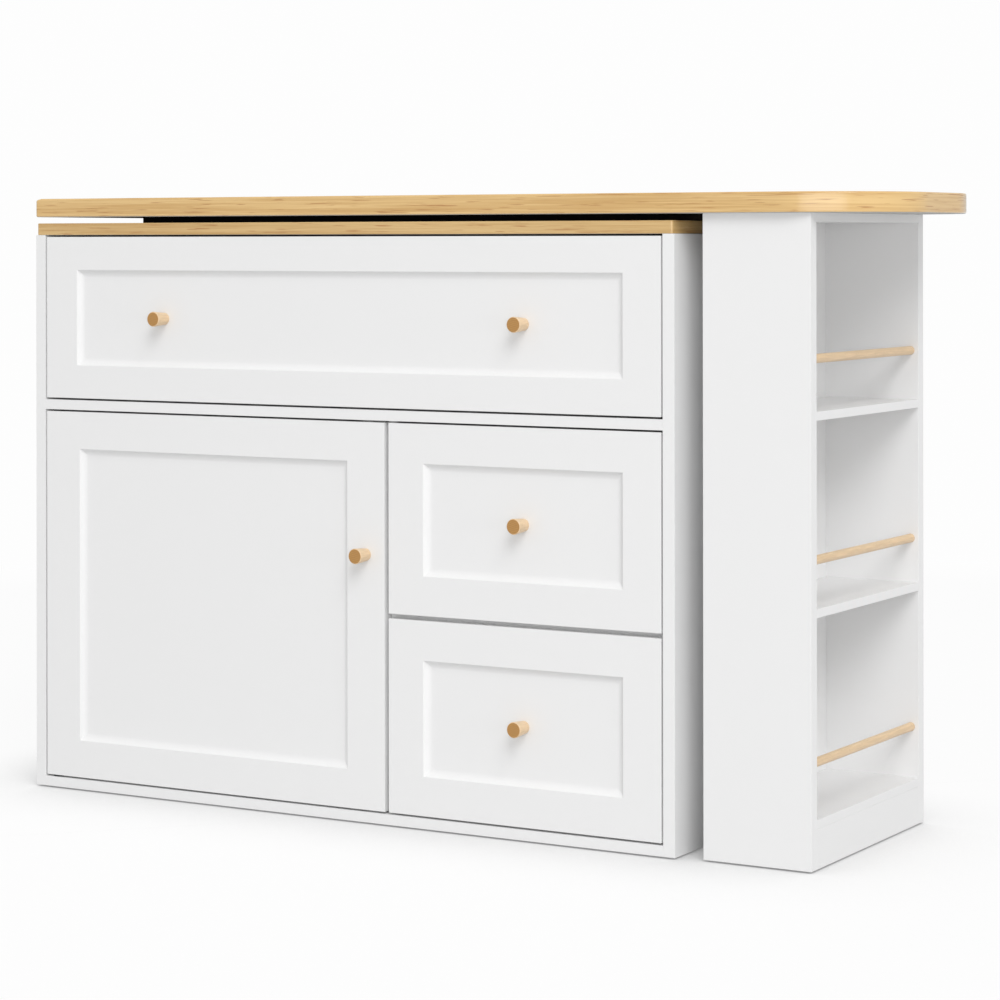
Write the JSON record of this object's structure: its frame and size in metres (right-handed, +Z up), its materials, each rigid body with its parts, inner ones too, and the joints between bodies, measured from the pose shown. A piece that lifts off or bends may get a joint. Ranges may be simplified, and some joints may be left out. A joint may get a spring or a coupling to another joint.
{
  "type": "kitchen island unit",
  "caption": "White kitchen island with drawers and a cupboard, and an oak worktop that swivels on it with an open shelf tower on hidden wheels.",
  "frame": {"origin": "on the floor, under the middle of the whole unit", "axes": "+X along the unit from the cabinet to the shelf tower, -Y out of the drawer fronts, +Z up"},
  "size_m": [1.413, 0.431, 0.9],
  "materials": {
    "white_board": "satin white paint on board",
    "white_front": "satin white paint, sprayed",
    "drawer_board": "matt white foil on board",
    "oak_top": "clear satin lacquer on light oak with fine grain",
    "beech_turned": "clear satin lacquer on pale turned beech",
    "black_steel": "black powder coat",
    "zinc_steel": "bright zinc plate",
    "grey_nylon": "matt moulded nylon"
  },
  "bodies": {
    "cabinet": {"left_side_panel": "white_board", "right_side_panel": "white_board", "bottom_panel": "white_board", "middle_panel": "white_board", "centre_divider": "white_board", "drawer_rail": "white_board", "back_panel": "white_board", "fixed_top": "oak_top", "floor_glides": "grey_nylon", "shelf": "white_board", "shelf_pins": "zinc_steel", "pivot_bushes": "grey_nylon", "magnet_catch": "grey_nylon", "top_runners_fixed": "zinc_steel", "middle_runners_fixed": "zinc_steel", "lower_runners_fixed": "zinc_steel", "bearing_lower_plate": "zinc_steel"},
    "swivel_top": {"worktop": "oak_top", "support_bars": "black_steel", "bearing_upper_plate": "zinc_steel", "tower_front_panel": "white_board", "tower_back_panel": "white_board", "tower_inner_panel": "white_board", "tower_top_panel": "white_board", "tower_upper_shelf": "white_board", "tower_lower_shelf": "white_board", "tower_base_shelf": "white_board", "tower_plinth": "white_board", "tower_rails": "beech_turned", "wheel_brackets": "zinc_steel", "wheel_axles": "zinc_steel"},
    "bearing_ring": {"bearing_balls": "zinc_steel"},
    "front_wheel": {"front_wheel": "grey_nylon"},
    "rear_wheel": {"rear_wheel": "grey_nylon"},
    "door": {"door_panel": "white_front", "door_knob": "beech_turned", "door_pivot_pins": "zinc_steel", "strike_plate": "zinc_steel"},
    "top_drawer": {"top_drawer_front": "white_front", "top_drawer_knobs": "beech_turned", "top_drawer_sides": "drawer_board", "top_drawer_back": "drawer_board", "top_drawer_bottom": "drawer_board", "top_runners_sliding": "zinc_steel"},
    "middle_drawer": {"middle_drawer_front": "white_front", "middle_drawer_knob": "beech_turned", "middle_drawer_sides": "drawer_board", "middle_drawer_back": "drawer_board", "middle_drawer_bottom": "drawer_board", "middle_runners_sliding": "zinc_steel"},
    "lower_drawer": {"lower_drawer_front": "white_front", "lower_drawer_knob": "beech_turned", "lower_drawer_sides": "drawer_board", "lower_drawer_back": "drawer_board", "lower_drawer_bottom": "drawer_board", "lower_runners_sliding": "zinc_steel"},
    "top_cages": {"top_runner_cages": "zinc_steel"},
    "middle_cages": {"middle_runner_cages": "zinc_steel"},
    "lower_cages": {"lower_runner_cages": "zinc_steel"}
  },
  "joints": [
    {"name": "top_drawer_slide", "type": "slide", "parent": "cabinet", "child": "top_drawer", "axis": [0, -1, 0], "range_m": [0, 0.25]},
    {"name": "middle_drawer_slide", "type": "slide", "parent": "cabinet", "child": "middle_drawer", "axis": [0, -1, 0], "range_m": [0, 0.25]},
    {"name": "lower_drawer_slide", "type": "slide", "parent": "cabinet", "child": "lower_drawer", "axis": [0, -1, 0], "range_m": [0, 0.25]},
    {"name": "top_cage_slide", "type": "slide", "parent": "cabinet", "child": "top_cages", "axis": [0, -1, 0], "range_m": [0, 0.125]},
    {"name": "middle_cage_slide", "type": "slide", "parent": "cabinet", "child": "middle_cages", "axis": [0, -1, 0], "range_m": [0, 0.125]},
    {"name": "lower_cage_slide", "type": "slide", "parent": "cabinet", "child": "lower_cages", "axis": [0, -1, 0], "range_m": [0, 0.125]},
    {"name": "door_swing", "type": "hinge", "parent": "cabinet", "child": "door", "pos_m": [-0.6697, -0.1785, 0.298], "axis": [0, 0, 1], "range_deg": [-110, 0]},
    {"name": "worktop_swivel", "type": "hinge", "parent": "cabinet", "child": "swivel_top", "pos_m": [-0.5035, 0.0125, 0.86725], "axis": [0, 0, 1], "range_deg": [-180, 180]},
    {"name": "bearing_ring_turn", "type": "hinge", "parent": "cabinet", "child": "bearing_ring", "pos_m": [-0.5035, 0.0125, 0.86725], "axis": [0, 0, 1], "range_deg": [-90, 90]},
    {"name": "front_wheel_roll", "type": "hinge", "parent": "swivel_top", "child": "front_wheel", "pos_m": [0.5165, -0.1175, 0.02], "axis": [0.992, -0.1264, 0], "continuous": true},
    {"name": "rear_wheel_roll", "type": "hinge", "parent": "swivel_top", "child": "rear_wheel", "pos_m": [0.5165, 0.1425, 0.02], "axis": [0.992, 0.1264, 0], "continuous": true}
  ],
  "couplings": [
    {"joint": "top_cage_slide", "follows": "top_drawer_slide", "ratio": 0.5},
    {"joint": "middle_cage_slide", "follows": "middle_drawer_slide", "ratio": 0.5},
    {"joint": "lower_cage_slide", "follows": "lower_drawer_slide", "ratio": 0.5},
    {"joint": "bearing_ring_turn", "follows": "worktop_swivel", "ratio": 0.5}
  ]
}
